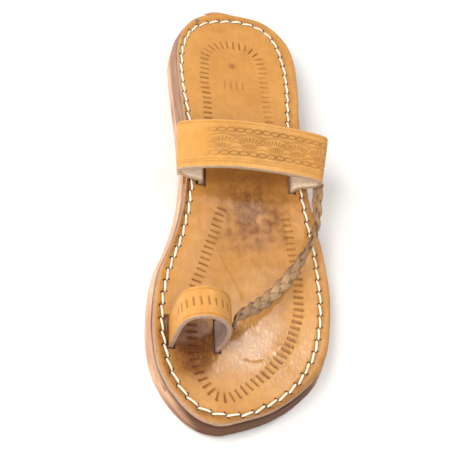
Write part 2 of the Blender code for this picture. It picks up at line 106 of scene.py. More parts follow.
def nearLine(xy, line, closed=False):  # distance, side and place along a line for many points
    if closed:
        line = np.vstack((line, line[:1]))
    starts, runs = line[:-1], np.diff(line, axis=0)
    spans = np.linalg.norm(runs, axis=1)
    before = np.concatenate(([0.0], np.cumsum(spans)))[:-1]
    distance, side, place = [], [], []
    for part in np.array_split(xy, max(1, len(xy) // 4000)):
        gap = part[:, None, :] - starts[None]
        t = np.clip((gap * runs).sum(2) / spans**2, 0.0, 1.0)
        off = gap - runs[None] * t[:, :, None]
        d = np.linalg.norm(off, axis=2)
        k = d.argmin(axis=1)
        n = np.arange(len(part))
        o = off[n, k]
        distance.append(d[n, k])
        side.append(np.sign(runs[k, 0] * o[:, 1] - runs[k, 1] * o[:, 0]))
        place.append(before[k] + t[n, k] * spans[k])
    return np.concatenate(distance), np.concatenate(side), np.concatenate(place)


# The sole's own form, in mm

sole = dict(
    length=262.0, width=97.0, outsole=8.0, footbed=3.0, lift=7.0, toeSpring=1.5,
    slope=1.6, step=0.4, gap=0.3, lowerRound=0.6,
    toeBreak=-94.3, waistFront=-30.7, waistRear=49.3, breast=17.3,
    acrossCells=64, alongCells=190,  # cells of the layers' grids
)

# Outline in half lengths and half widths, from the toe to the heel: along, medial, lateral
outlineShares = (
    (-1.000, -0.340, -0.340), (-0.979, -0.540, -0.082), (-0.922, -0.722, 0.289),
    (-0.845, -0.866, 0.571), (-0.754, -0.961, 0.788), (-0.647, -1.000, 0.915),
    (-0.525, -0.994, 0.977), (-0.387, -0.938, 1.000), (-0.235, -0.790, 0.977),
    (-0.082, -0.685, 0.911), (0.071, -0.645, 0.835), (0.223, -0.649, 0.790),
    (0.414, -0.689, 0.804), (0.605, -0.730, 0.825), (0.735, -0.734, 0.821),
    (0.834, -0.680, 0.769), (0.910, -0.567, 0.660), (0.968, -0.371, 0.495),
    (1.000, 0.082, 0.082),
)


def riseAt(y):  # how far the layers are bent up, in mm
    past = np.maximum(0.0, sole["toeBreak"] - y) / (sole["toeBreak"] + sole["length"] / 2)
    return sole["lift"] * ramp(sole["waistFront"], sole["waistRear"], y) + sole["toeSpring"] * past**2


def topAt(y):
    return sole["outsole"] + sole["footbed"] + riseAt(y)


def makeOutline():
    medial = [(m, a) for a, m, b in outlineShares]
    lateral = [(b, a) for a, m, b in outlineShares[-2:0:-1]]
    path = smoothPath(medial + lateral, 12, closed=True)
    low, high = path.min(axis=0), path.max(axis=0)
    path = (path - (low + high) / 2) / (high - low) * (sole["width"], sole["length"])
    count = 2 * (sole["acrossCells"] + sole["alongCells"])
    even = evenPath(np.vstack((path, path[:1])), count + 1)[:-1]
    toeTip = int(even[:, 1].argmin())
    return np.roll(even, sole["acrossCells"] // 2 - toeTip, axis=0)


outline = makeOutline()
ahead = unit(np.roll(outline, -1, axis=0) - np.roll(outline, 1, axis=0))
inward = np.stack((ahead[:, 1], -ahead[:, 0]), axis=1)


def ringAt(inset):
    return outline + inward * inset


# Small tools

def deselectAll():
    if bpy.context.object and bpy.context.object.mode != "OBJECT":
        bpy.ops.object.mode_set(mode="OBJECT")
    bpy.ops.object.select_all(action="DESELECT")


def pick(obj):
    deselectAll()
    obj.select_set(True)
    bpy.context.view_layer.objects.active = obj


def meshPiece(name, points, faces):  # points in mm
    mesh = bpy.data.meshes.new(name)
    mesh.from_pydata([tuple(p) for p in np.asarray(points) * mm], [], faces)
    mesh.validate()
    obj = bpy.data.objects.new(name, mesh)
    scene.collection.objects.link(obj)
    return obj


def pointsOf(obj):  # in mm
    values = np.empty(len(obj.data.vertices) * 3)
    obj.data.vertices.foreach_get("co", values)
    return values.reshape(-1, 3) / mm


def placePoints(obj, points):
    obj.data.vertices.foreach_set("co", (np.asarray(points) * mm).ravel())
    obj.data.update()


def editFaces(obj, test):  # edit mode, with the faces chosen whose middles in mm pass the test
    pick(obj)
    mesh = obj.data
    middles = np.empty(len(mesh.polygons) * 3)
    mesh.polygons.foreach_get("center", middles)
    mesh.vertices.foreach_set("select", np.zeros(len(mesh.vertices), bool))
    mesh.edges.foreach_set("select", np.zeros(len(mesh.edges), bool))
    chosen = test(middles.reshape(-1, 3) / mm)
    mesh.polygons.foreach_set("select", chosen)
    bpy.context.tool_settings.mesh_select_mode = (False, False, True)
    bpy.ops.object.mode_set(mode="EDIT")
    return int(chosen.sum())


def faceOutwards(obj):
    pick(obj)
    bpy.ops.object.mode_set(mode="EDIT")
    bpy.ops.mesh.select_all(action="SELECT")
    bpy.ops.mesh.normals_make_consistent(inside=False)
    bpy.ops.object.mode_set(mode="OBJECT")


def tubeFaces(rings, around, start=0, turned=False):  # the walls and both ends of a closed tube
    faces = []
    for i in range(rings - 1):
        for j in range(around):
            a, b = start + i * around + j, start + i * around + (j + 1) % around
            faces.append((a, b, b + around, a + around) if turned else (a, a + around, b + around, b))
    first = tuple(range(start, start + around))
    last = tuple(range(start + (rings - 1) * around, start + rings * around))
    return faces + ([first[::-1], last] if turned else [first, last[::-1]])


def pushOut(points, amount):  # sideways, away from the sole's middle
    points[:, :2] += unit(points[:, :2]) * amount[:, None]


def inBox(c, box, margin=0.0):  # box: low x, high x, low y, high y
    return ((c[:, 0] > box[0] - margin) & (c[:, 0] < box[1] + margin)
            & (c[:, 1] > box[2] - margin) & (c[:, 1] < box[3] + margin))


def setField(obj, name, values):  # a value for each point, which a material reads
    field = obj.data.attributes.new(name, "FLOAT", "POINT")
    field.data.foreach_set("value", np.asarray(values, np.float32))


def finishPiece(obj, node, material, angle=50):
    pick(obj)
    bpy.ops.object.shade_smooth_by_angle(angle=math.radians(angle))
    obj.data.materials.clear()
    obj.data.materials.append(material)
    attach(obj, "root")
    if node:
        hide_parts(node)


# Materials

class Wire:  # a socket that can be used in sums and products
    def __init__(self, recipe, socket):
        self.recipe, self.socket = recipe, socket

    def math(self, operation, *values):
        return self.recipe.add("ShaderNodeMath", {"operation": operation}, dict(enumerate(values)))

    def __add__(self, other): return self.math("ADD", self, other)
    def __radd__(self, other): return self.math("ADD", other, self)
    def __sub__(self, other): return self.math("SUBTRACT", self, other)
    def __rsub__(self, other): return self.math("SUBTRACT", other, self)
    def __mul__(self, other): return self.math("MULTIPLY", self, other)
    def clamped(self): return self.math("MINIMUM", self.math("MAXIMUM", self, 0.0), 1.0)


shaderSockets = dict(color="Base Color", roughness="Roughness", metallic="Metallic", coat="Coat Weight",
                     coatRoughness="Coat Roughness", normal="Normal", specular="Specular IOR Level",
                     sky="Color", strength="Strength")


class Recipe:  # the nodes of one material, or of the studio's air
    def __init__(self, name, world=None):
        self.owner = world or bpy.data.materials.new(name)
        self.owner.use_nodes = True
        self.tree = self.owner.node_tree
        self.shader = self.tree.nodes["Background" if world else "Principled BSDF"]
        self.place = self.add("ShaderNodeTexCoord", {}, {}, "Generated" if world else "Object")

    def connect(self, socket, value):
        if isinstance(value, Wire):
            self.tree.links.new(value.socket, socket)
        else:
            socket.default_value = value

    def add(self, kind, settings, inputs, output=0):
        node = self.tree.nodes.new(kind)
        for name, value in settings.items():
            setattr(node, name, value)
        for name, value in inputs.items():
            self.connect(node.inputs[name], value)
        return Wire(self, node.outputs[output])

    def mix(self, share, first, second):
        first, second = [c if isinstance(c, Wire) else (*c, 1.0) for c in (first, second)]
        return self.add("ShaderNodeMix", {"data_type": "RGBA"}, {0: share, 6: first, 7: second}, 2)

    def stretched(self, stretch):  # scale and turn of the place that a texture reads
        if stretch is None:
            return self.place
        return self.add("ShaderNodeMapping", {}, {"Vector": self.place, "Scale": stretch[0], "Rotation": stretch[1]})

    def noise(self, scale, detail, rough, distortion=0.0, stretch=None):
        return self.add("ShaderNodeTexNoise", {}, {
            "Vector": self.stretched(stretch), "Scale": scale, "Detail": detail, "Roughness": rough,
            "Distortion": distortion})

    def cellEdges(self, scale, stretch=None):
        return self.add("ShaderNodeTexVoronoi", {"feature": "DISTANCE_TO_EDGE"},
                        {"Vector": self.stretched(stretch), "Scale": scale})

    def field(self, name):
        return self.add("ShaderNodeAttribute", {"attribute_name": name}, {}, "Fac")

    def between(self, value, low, high):
        return self.add("ShaderNodeMapRange", {"interpolation_type": "SMOOTHSTEP"},
                        {"Value": value, "From Min": low, "From Max": high})

    def relief(self, height, distance, strength):
        return self.add("ShaderNodeBump", {}, {"Height": height, "Distance": distance, "Strength": strength})

    def finish(self, **inputs):
        for name, value in inputs.items():
            self.connect(self.shader.inputs[shaderSockets[name]], value)
        return self.owner


# Leather tones. The dark stain tone colours real stains and painted shade; the near black hole tone is painted shade
# inside the stitch holes; the pale worn tone colours real scuffs and painted sheen
tannedLook = dict(light=(0.63, 0.318, 0.086), mid=(0.56, 0.262, 0.060), deep=(0.34, 0.120, 0.022),
                  burnt=(0.10, 0.024, 0.005), toolDark=0.72, stainAndShade=(0.185, 0.060, 0.010),
                  worn=(0.88, 0.66, 0.46), hole=(0.028, 0.012, 0.008),
                  cutPale=(0.56, 0.38, 0.25), cutDeep=(0.36, 0.20, 0.12),
                  fleshPale=(0.68, 0.53, 0.40), fleshDeep=(0.44, 0.30, 0.20))


def tannedLeather(name, look):  # the smooth grain face, with its cut edge and flesh side where a field says so
    r = Recipe(name)
    shade, tool, grain, cut, flesh, hole = map(r.field, ("shade", "tool", "grain", "cut", "flesh", "hole"))
    clouds = r.between(r.noise(30.0, 5.0, 0.62), 0.28, 0.72)
    fine = r.between(r.noise(190.0, 5.0, 0.66), 0.25, 0.75)
    fibre = r.between(r.noise(330.0, 4.0, 0.6, 0.6, ((1.0, 0.22, 1.0), (0.0, 0.0, 0.25))), 0.35, 0.75)
    specks = r.between(r.noise(1100.0, 3.0, 0.6), 0.60, 0.76)
    scuffAndSheenPatches = r.between(r.noise(85.0, 3.0, 0.6, 0.3), 0.42, 0.66)
    cutFibres = r.between(r.noise(420.0, 5.0, 0.7, 0.4, ((1.0, 1.0, 3.2), (0.0, 0.0, 0.0))), 0.3, 0.72)
    nap = r.between(r.noise(700.0, 5.0, 0.75), 0.3, 0.7)
    wrinkles = r.noise(210.0, 5.0, 0.62, 0.8, ((1.0, 0.55, 1.0), (0.0, 0.0, 0.5)))
    pores = r.between(r.cellEdges(1500.0), 0.0, 0.22)
    folds = r.between(r.cellEdges(430.0, ((1.0, 0.6, 1.0), (0.0, 0.0, 0.35))), 0.0, 0.42) * grain
    color = r.mix(clouds, look["mid"], look["light"])
    color = r.mix(fine * 0.20 + fibre * 0.14, color, look["deep"])
    color = r.mix(specks * 0.20, color, look["burnt"])
    # painted shade: the shade field darkens towards the stain tone, for real stains and wear and for painted shade in
    # hollows, under the straps and inside the toe loop
    color = r.mix((shade * (0.7 + fine * 0.6)).clamped(), color, look["stainAndShade"])
    color = r.mix((tool * look["toolDark"]).clamped(), color, look["burnt"])
    # pale streaks on the grain's folds at the ball and waist: partly real scuffs, partly painted sheen
    color = r.mix((folds * (0.10 + scuffAndSheenPatches * 0.45)).clamped(), color, look["worn"])
    color = r.mix(cut, color, r.mix(cutFibres, look["cutDeep"], look["cutPale"]))
    color = r.mix(flesh, color, r.mix(nap, look["fleshDeep"], look["fleshPale"]))
    # painted shade: the stitch holes are coloured near black
    color = r.mix(hole, color, look["hole"])
    height = (pores * 0.14 + wrinkles * (0.18 + grain * 1.5) + fine * 0.2 + fibre * 0.10
              + folds * 4.2 + nap * flesh * 1.3 + cutFibres * cut * 1.3)
    rough = 0.33 - grain * 0.13 + tool * 0.22 + fine * 0.12 + flesh * 0.5 + cut * 0.32 + shade * 0.10
    coat = 0.04 + grain * 0.36 - tool * 0.05 - flesh * 0.4 - cut * 0.3
    return r.finish(color=color, roughness=rough.clamped(), coat=coat.clamped(), coatRoughness=0.17,
                    normal=r.relief(height, 0.00022, 0.8), specular=0.24)


# The soil tone serves random tone and soil, and painted shade on the outsole's toe
soleLook = dict(dark=(0.10, 0.045, 0.03), scuff=(0.62, 0.45, 0.34), soilAndShade=(0.110, 0.042, 0.020),
                shade=(0.050, 0.018, 0.012))


def soleLeather(name, pale, deep, bands):  # thick vegetable leather seen on its cut side
    r = Recipe(name)
    long = r.noise(60.0, 4.0, 0.6, 0.3, ((1.0, 1.0, 7.0), (0.0, 0.0, 0.0)))
    short = r.noise(520.0, 5.0, 0.7, 0.5, ((1.0, 1.0, 4.0), (0.0, 0.0, 0.0)))
    blot = r.between(r.noise(34.0, 3.0, 0.55), 0.35, 0.68)
    scuffs = r.between(r.noise(300.0, 4.0, 0.75, 0.0, ((0.5, 0.5, 3.0), (0.0, 0.0, 0.3))), 0.66, 0.74)
    color = r.mix(r.between(long, 0.3, 0.72), deep, pale)
    color = r.mix(blot * 0.45, color, bands)
    color = r.mix(r.between(short, 0.55, 0.8) * 0.4, color, soleLook["dark"])
    color = r.mix(scuffs * 0.5, color, soleLook["scuff"])
    # painted shade on the outsole's toe, and random tone
    color = r.mix(r.field("soilAndShade"), color, soleLook["soilAndShade"])
    color = r.mix(r.field("shade"), color, soleLook["shade"])
    return r.finish(color=color, roughness=0.52 + short * 0.22, coat=0.02, coatRoughness=0.4, specular=0.22,
                    normal=r.relief(short * 0.7 + long * 0.5 + scuffs * 0.4, 0.00035, 0.9))


def threadMaterial():
    r = Recipe("waxed_thread")
    strands = r.field("twist")
    # real soil on the thread, no painted shade
    soilAndShade = r.between(r.noise(240.0, 3.0, 0.6), 0.45, 0.75)
    color = r.mix(soilAndShade * 0.6, (0.86, 0.79, 0.66), (0.60, 0.45, 0.30))
    return r.finish(color=color, roughness=0.6, normal=r.relief(strands, 0.0002, 0.9))


def braidMaterial():
    r = Recipe("raw_thong")
    fine = r.between(r.noise(500.0, 5.0, 0.7, 0.4), 0.3, 0.72)
    broad = r.between(r.noise(90.0, 3.0, 0.6), 0.35, 0.7)
    color = r.mix(broad, (0.27, 0.150, 0.066), (0.40, 0.240, 0.115))
    color = r.mix(fine * 0.35, color, (0.52, 0.36, 0.22))
    # painted shade in the gaps between the strands
    color = r.mix(r.field("strandShade"), color, (0.085, 0.035, 0.014))
    return r.finish(color=color, roughness=0.72, normal=r.relief(fine + broad * 0.5, 0.00018, 0.8))


# Layers of the sole

def layerBody(name, profile):  # profile: inset and height in mm, from the underside's inner ring to the top's
    across, along = sole["acrossCells"], sole["alongCells"]
    count = len(outline)
    points, faces = [], []
    for inset, height in profile:
        points.append(np.column_stack((ringAt(inset), np.full(count, float(height)))))
    for low in range(len(profile) - 1):
        a, b = low * count, (low + 1) * count
        for k in range(count):
            n = (k + 1) % count
            faces.append((a + k, b + k, b + n, a + n))
    used = len(profile) * count
    u = np.linspace(0.0, 1.0, across + 1)[:, None, None]
    v = np.linspace(0.0, 1.0, along + 1)[None, :, None]
    for ringNumber in (0, len(profile) - 1):
        ring = points[ringNumber]
        start = ringNumber * count
        toe = [(across - i) % count for i in range(across + 1)]
        heel = [(across + along + i) % count for i in range(across + 1)]
        medial = [(across + j) % count for j in range(along + 1)]
        lateral = [(2 * across + 2 * along - j) % count for j in range(along + 1)]
        grid = ((1 - v) * ring[toe][:, None] + v * ring[heel][:, None]
                + (1 - u) * ring[medial][None] + u * ring[lateral][None]
                - ((1 - u) * (1 - v) * ring[toe[0]] + u * (1 - v) * ring[toe[-1]]
                   + (1 - u) * v * ring[heel[0]] + u * v * ring[heel[-1]]))
        index = np.zeros((across + 1, along + 1), int)
        index[:, 0], index[:, -1] = np.array(toe) + start, np.array(heel) + start
        index[0, :], index[-1, :] = np.array(medial) + start, np.array(lateral) + start
        inner = (across - 1) * (along - 1)
        index[1:-1, 1:-1] = np.arange(inner).reshape(across - 1, along - 1) + used
        used += inner
        points.append(grid[1:-1, 1:-1].reshape(-1, 3))
        for i in range(across):
            for j in range(along):
                quad = (index[i, j], index[i + 1, j], index[i + 1, j + 1], index[i, j + 1])
                faces.append(tuple(int(q) for q in (quad if ringNumber else quad[::-1])))
    return meshPiece(name, np.vstack(points), faces)


# Stitch line in mm: along, medial and lateral
stitchRows = (
    (-121.8, -24.8, 1.7), (-118.8, -28.4, 6.8), (-112.8, -33.2, 16.3), (-105.8, -37.0, 23.8),
    (-98.8, -39.4, 28.8), (-90.8, -41.0, 33.3), (-80.8, -42.2, 36.9), (-70.8, -42.2, 39.0),
    (-60.8, -41.0, 40.1), (-50.8, -38.9, 40.3), (-40.8, -35.8, 40.1), (-30.8, -32.1, 39.7),
    (-20.8, -29.7, 38.7), (-10.8, -27.8, 37.1), (-0.8, -26.6, 35.6), (9.2, -26.1, 34.0),
    (19.2, -25.9, 32.6), (29.2, -26.4, 31.0), (39.2, -27.3, 29.6), (49.2, -28.6, 29.4),
    (59.2, -29.9, 29.9), (69.2, -31.1, 30.4), (79.2, -31.7, 30.6), (89.2, -31.4, 30.2),
    (99.2, -29.8, 28.9), (104.2, -28.3, 28.0), (109.2, -26.0, 26.4), (114.2, -22.0, 24.0),
    (118.2, -15.8, 20.6), (121.6, -5.5, 15.0),
)
stitching = dict(count=82, thick=0.66, lift=0.15, channel=0.50, toeEnd=(-12.5, -124.4), heelEnd=(5.0, 122.9))

medialStitches = [(m, y) for y, m, l in stitchRows]
lateralStitches = [(l, y) for y, m, l in reversed(stitchRows)]
stitchLoop = smoothPath([stitching["toeEnd"]] + medialStitches + [stitching["heelEnd"]] + lateralStitches,
                        6, closed=True)
stitchHoles = evenPath(np.vstack((stitchLoop, stitchLoop[:1])), stitching["count"] + 1)

# Middle lines of the stamped rows in mm
stampRows = dict(
    forefoot=((-9.3, -7.8), (-14.7, -25.6), (-20.2, -43.0), (-24.9, -56.4), (-27.3, -68.0), (-27.6, -80.0),
              (-27.0, -92.0), (-24.5, -102.5), (-21.1, -110.2), (-17.1, -114.6), (-11.8, -115.4), (-4.2, -112.0),
              (4.1, -105.2), (12.7, -97.2), (19.5, -88.2), (24.4, -79.5), (27.3, -70.3), (28.7, -60.0),
              (29.3, -45.2), (28.7, -38.0), (27.2, -24.2), (25.4, -9.3)),
    heel=((-15.9, 37.0), (-16.6, 46.1), (-17.4, 63.8), (-18.1, 80.3), (-16.3, 94.2), (-12.5, 100.2),
          (-7.2, 103.3), (2.1, 104.3), (8.6, 103.6), (13.9, 99.4), (16.7, 90.2), (17.4, 78.7),
          (17.7, 66.0), (18.4, 54.2), (18.8, 44.0)),
)
# broadAt and faintAt hold a row each, as shares of the line: middle, reach, weight and start, end, weight
stamps = dict(pitch=3.62, halfLength=2.6, halfWidth=0.40, broad=0.42, depth=0.62,
              broadAt=((0.70, 0.13, 1.0), (0.12, 0.16, 0.45)), faintAt=((0.72, 0.95, 0.35), (0.62, 0.80, 0.50)))
stampLines = [smoothPath(line, 8) for line in stampRows.values()]

slots = (  # low x, high x, low y, high y, in mm
    (-24.4, -18.8, 2.6, 33.4), (27.1, 31.6, 4.6, 35.4),
    (-41.8, -35.9, -92.9, -74.5), (-16.9, -13.2, -92.9, -74.5),
)
fineZones = ((-8.5, 7.5, 67.0, 93.0), (-13.5, 1.5, -63.0, -36.0), (-4.1, 8.9, -100.0, -93.0))

# Creases: middle line in mm, half width, weight
creaseLines = (
    (((-11.5, -37.5), (-8.6, -44.0), (-5.6, -50.5), (-1.0, -61.5)), 0.50, 0.55),
    (((-1.6, -94.9), (2.4, -95.6), (6.9, -94.4)), 0.42, 0.42),
)

# Soft ovals on the footbed: middle x and y, reach along x and y in mm, weight
patches = dict(
    stainAndShade=(8.0, -12.0, 19.0, 15.0, 1.15), worn=(3.0, -27.0, 24.0, 26.0, 0.24),
    # the two ovals of the toe loop are painted shade inside the loop and in front of it
    loopShade=(-26.5, -86.0, 10.5, 14.0, 1.3), loopShadeFront=(-27.0, -98.0, 9.0, 9.0, 0.35),
    ballGrain=(6.0, -88.0, 24.0, 17.0, 1.0), waistGrain=(3.0, -2.0, 20.0, 12.0, 0.25),
)
heelMark = dict(x=-1.0, y=88.3, reach=2.1, strokes=4, strokeX=-6.2, strokeY=72.5, strokeStep=(3.6, 0.5))


def patch(name, x, y):
    middleX, middleY, reachX, reachY, weight = patches[name]
    return weight * bell(x - middleX, reachX) * bell(y - middleY, reachY)


def stampFields(xy):  # depth and darkness of the stamped rows
    stamp, dark = np.zeros(len(xy)), np.zeros(len(xy))
    for number, line in enumerate(stampLines):
        away, turn, spot = nearLine(xy, line)
        sideways = away * turn
        total = lengthsAlong(line)[-1]
        step = total / round(total / stamps["pitch"])
        index = np.floor(spot / step)
        middle = (spot / step - index - 0.5) * step
        share = spot / total
        uneven = 0.84 + 0.16 * np.sin(index * 12.9898 + number) * np.cos(index * 4.1)
        shift = 0.25 * np.sin(index * 7.3 + 2.0 * number)
        reach = np.abs(sideways + shift) / stamps["halfLength"]
        at, width, weight = stamps["broadAt"][number]
        half = stamps["halfWidth"] + stamps["broad"] * weight * bell(share - at, width)
        mark = ramp(half + 0.26, half - 0.16, np.abs(middle + sideways * 0.05)) * ramp(1.08, 0.86, reach)
        mark *= (spot > 0.05) & (spot < total - 0.05)
        outer = ramp(-1.0, 1.0, -sideways / stamps["halfLength"])
        start, end, weight = stamps["faintAt"][number]
        stamp = np.maximum(stamp, mark * uneven)
        dark = np.maximum(dark, mark * uneven * (0.8 + 0.2 * outer) * (1 - weight * ramp(start, end, share)))
    return stamp, dark


def heelFields(x, y):  # the plain dimple and the plain strokes
    dimple = bell(np.hypot(x - heelMark["x"], y - heelMark["y"]), heelMark["reach"])
    strokes = np.zeros(len(x))
    for k in range(heelMark["strokes"]):
        strokeX = heelMark["strokeX"] + heelMark["strokeStep"][0] * k
        strokeY = heelMark["strokeY"] + heelMark["strokeStep"][1] * k
        strokes = np.maximum(strokes, bell(x - strokeX, 0.5) * ramp(3.6, 2.8, np.abs(y - strokeY)))
    return dimple, strokes


def footbedFields(xy):
    x, y = xy.T
    distance, side, place = nearLine(xy, stitchLoop, closed=True)
    out = distance * side  # positive outside the stitches
    toRim, _, _ = nearLine(xy, ringAt(sole["slope"] + sole["step"]), closed=True)
    pitch = lengthsAlong(np.vstack((stitchLoop, stitchLoop[:1])))[-1] / stitching["count"]
    along = (place / pitch + 0.5) % 1.0 - 0.5  # 0 at a hole
    hole = ramp(0.25, 0.75, bell(along * pitch + out * 0.55, 0.74) * ramp(2.1, 1.2, np.abs(out)))
    channel = bell(out, 0.95)
    stamp, dark = stampFields(xy)
    dimple, strokes = heelFields(x, y)
    stamp = np.maximum(stamp, np.maximum(dimple, strokes * 0.5))
    dark = np.maximum(dark, np.maximum(dimple * 0.8, strokes * 0.42))
    creases = sum(weight * bell(nearLine(xy, smoothPath(line, 6))[0], width) for line, width, weight in creaseLines)

    ripple = wander(x, y, 40.0, 3.0) * 0.20 + wander(x, y, 13.0, 8.0) * 0.035
    dish = 1.05 * ramp(0.0, 24.0, np.maximum(0.0, -out))
    band = np.clip(out / np.maximum(out + toRim, 0.2), 0.0, 1.0)  # 0 at the stitches, 1 at the rim
    waistSide = ramp(-60.0, -25.0, y) * ramp(75.0, 30.0, y) * (x < 0)
    swell = np.sin(np.pi * band) * (out > 0)
    height = (-stitching["channel"] * channel - 0.55 * hole - stamps["depth"] * stamp
              - 0.28 * creases + ripple - dish + 0.12 * swell * (1 - waistSide) - 0.75 * swell * waistSide
              + 0.35 * waistSide * ramp(0.7, 1.0, band) - 0.25 * ramp(1.6, 0.2, toRim))

    blotch = np.clip(0.6 + 0.30 * wander(x, y, 12.0, 2.0) + 0.22 * wander(x, y, 5.0, 6.0), 0, 1.2)
    # a mottled stain in front of the instep strap that is partly painted shadow of the strap, and a band of painted
    # shadow of the strap under it
    stainAndShade = patch("stainAndShade", x, y) * blotch + 0.30 * bell(x - 2.0, 30.0) * ramp(34.0, 18.0, np.abs(y - 19.0))
    # painted shade inside the toe loop and just in front of it
    underShade = patch("loopShade", x, y) + patch("loopShadeFront", x, y)
    # painted shade in the hollow along the raised waist edge and in the dip outside the stitches
    valleyShade = swell * waistSide * 0.42 + 0.25 * bell(out - 1.8, 1.1) * (out > 0)
    # darker at the midfoot and at random, and painted shade that deepens towards the toe
    worn = 0.10 + 0.10 * ramp(-60.0, -118.0, y) + 0.05 * wander(x, y, 30.0, 1.0) + patch("worn", x, y)
    # painted shade in the creases, in the stitch channel and along the rim's edge; darker near the rim towards the
    # toe
    shade = (worn + stainAndShade * 0.95 + underShade + valleyShade + 0.34 * creases + 0.32 * channel * (1 - hole)
             + 0.20 * ramp(5.0, 1.5, toRim) * ramp(-60.0, -100.0, y) + 0.55 * ramp(0.75, 0.1, toRim))
    # the tool darkening also carries painted shade inside the toe loop and the stain with the strap's painted shadow
    tool = dark + 0.62 * np.clip(underShade, 0, 1) + 0.26 * np.clip(stainAndShade, 0, 1)
    grain = patch("ballGrain", x, y) + patch("waistGrain", x, y)
    return dict(height=height, hole=hole, shade=np.clip(shade, 0, 0.88), tool=np.clip(tool, 0, 1),
                grain=np.clip(grain, 0, 1))


def cutSlot(body, box):  # bisects the layer at the slot's sides, opens both faces and joins their rims
    low, high, front, rear = box
    planes = [((x, 0, 0), (1, 0, 0)) for x in (low, high)] + [((0, y, 0), (0, 1, 0)) for y in (front, rear)]
    for spot, normal in planes:
        editFaces(body, lambda c: inBox(c, box, 3))
        bpy.ops.mesh.bisect(plane_co=Vector(spot) * mm, plane_no=normal, threshold=1e-7)
        bpy.ops.object.mode_set(mode="OBJECT")
    editFaces(body, lambda c: inBox(c, box))
    bpy.ops.mesh.delete(type="FACE")
    bpy.context.tool_settings.mesh_select_mode = (False, True, False)
    bpy.ops.mesh.select_all(action="DESELECT")
    bpy.ops.mesh.select_non_manifold(extend=False, use_wire=False, use_boundary=True, use_multi_face=False,
                                     use_non_contiguous=False, use_verts=False)
    bpy.ops.mesh.bridge_edge_loops()
    bpy.ops.object.mode_set(mode="OBJECT")


def refineFootbed(body, stitchWidth, stampWidth):  # finer cells along stitches, stamps and creases
    def fine(c):
        chosen = nearLine(c[:, :2], stitchLoop, closed=True)[0] < stitchWidth
        for line in stampLines:
            chosen |= nearLine(c[:, :2], line)[0] < stampWidth
        for zone in fineZones:
            chosen |= inBox(c, zone)
        return chosen & (c[:, 2] > 2.9)

    count = editFaces(body, fine)
    bpy.ops.mesh.subdivide(number_cuts=1)
    bpy.ops.object.mode_set(mode="OBJECT")
    print("  footbed: finer cells", count, "faces now", len(body.data.polygons))


def makeFootbed():
    side = sole["slope"] + sole["step"]
    rounding = ((3.0, 0.0), (0.0, 0.0), (0.0, 0.9), (0.05, 1.6), (0.28, 2.25), (0.7, 2.7), (1.25, 2.94),
                (2.0, 3.0), (3.0, 3.0))
    body = layerBody("footbed_leather_layer", [(side + inset, height) for inset, height in rounding])
    for box in slots:
        cutSlot(body, box)
    refineFootbed(body, 3.0, 4.2)
    refineFootbed(body, 2.1, 3.4)
    points = pointsOf(body)
    x, y, z = points.T.copy()
    fields = footbedFields(points[:, :2])
    wall = ramp(2.86, 2.3, z)
    inSlot = np.any([inBox(points, box, 0.02) for box in slots], axis=0)
    fields["shade"] = np.where(inSlot, np.where(x < -35.0, 0.5, 0.85), fields["shade"])
    points[:, 2] += sole["outsole"] + riseAt(y) + fields.pop("height") * ramp(0.6, 2.6, z)
    uneven = wander(x, y, 23.0, 5.0) * 0.16 + wander(x, y, 7.0, 6.0) * 0.06
    pushOut(points, uneven * wall * ~inSlot)
    placePoints(body, points)
    for name, values in fields.items():
        setField(body, name, values if name == "shade" else values * (1 - wall))
    setField(body, "cut", wall * ~inSlot)
    setField(body, "flesh", np.zeros(len(points)))
    finishPiece(body, "footbed", tannedLeather("footbed_tan", tannedLook))


crackPlaces = nearLine(np.array(((-43.6, -99.0), (-38.4, -111.5))), outline, closed=True)[2]
crackStart, crackEnd = sorted(float(c) for c in crackPlaces)  # where the dark split runs along the outsole's wall


def makeOutsole():
    top, low, slope = sole["outsole"] - sole["gap"], sole["lowerRound"], sole["slope"]
    profile = [(3.0, 0.0), (low, 0.0), (0.15, 0.2), (0.0, low)]
    profile += [(slope * t, low + (top - low) * t) for t in (0.17, 0.34, 0.5, 0.67, 0.84, 0.96)]
    profile += [(slope + 0.1, top), (slope + 3.0, top)]
    body = layerBody("outsole_layer", profile)
    points = pointsOf(body)
    x, y, z = points.T  # these follow the points as they move
    distance, _, place = nearLine(points[:, :2], outline, closed=True)
    wall = ramp(2.4, 1.2, distance) * ramp(0.0, 1.0, z)
    carve = (wander(place, z * 3.0, 31.0, 1.0) * 0.22 + wander(place, z * 2.0, 9.0, 4.0) * 0.07
             + 0.12 * np.sin(z * 2.2))
    crackLine = np.array(((crackStart, 5.4), ((crackStart + crackEnd) / 2, 4.6), (crackEnd, 5.0)))
    crack = bell(nearLine(np.column_stack((place, z)), crackLine)[0], 0.35)
    pushOut(points, (carve - 0.35 * crack) * wall)
    points[:, 2] += riseAt(y)
    placePoints(body, points)
    setField(body, "shade", np.clip(0.9 * crack + 0.55 * ramp(top - 0.7, top, z), 0, 1) * (distance < 6))
    # painted shade on the toe's front wall, deepening towards the toe, with random tone
    soilAndShade = (0.98 * ramp(-88.0, -120.0, y) * ramp(-45.0, -15.0, x) + 0.30 * ramp(-40.0, -90.0, y)
            + 0.18 * wander(place, z * 4.0, 26.0, 3.0))
    setField(body, "soilAndShade", np.clip(soilAndShade, 0, 0.96))
    material = soleLeather("outsole_side", (0.84, 0.54, 0.35), (0.58, 0.32, 0.19), (0.74, 0.42, 0.28))
    finishPiece(body, "outsole", material)


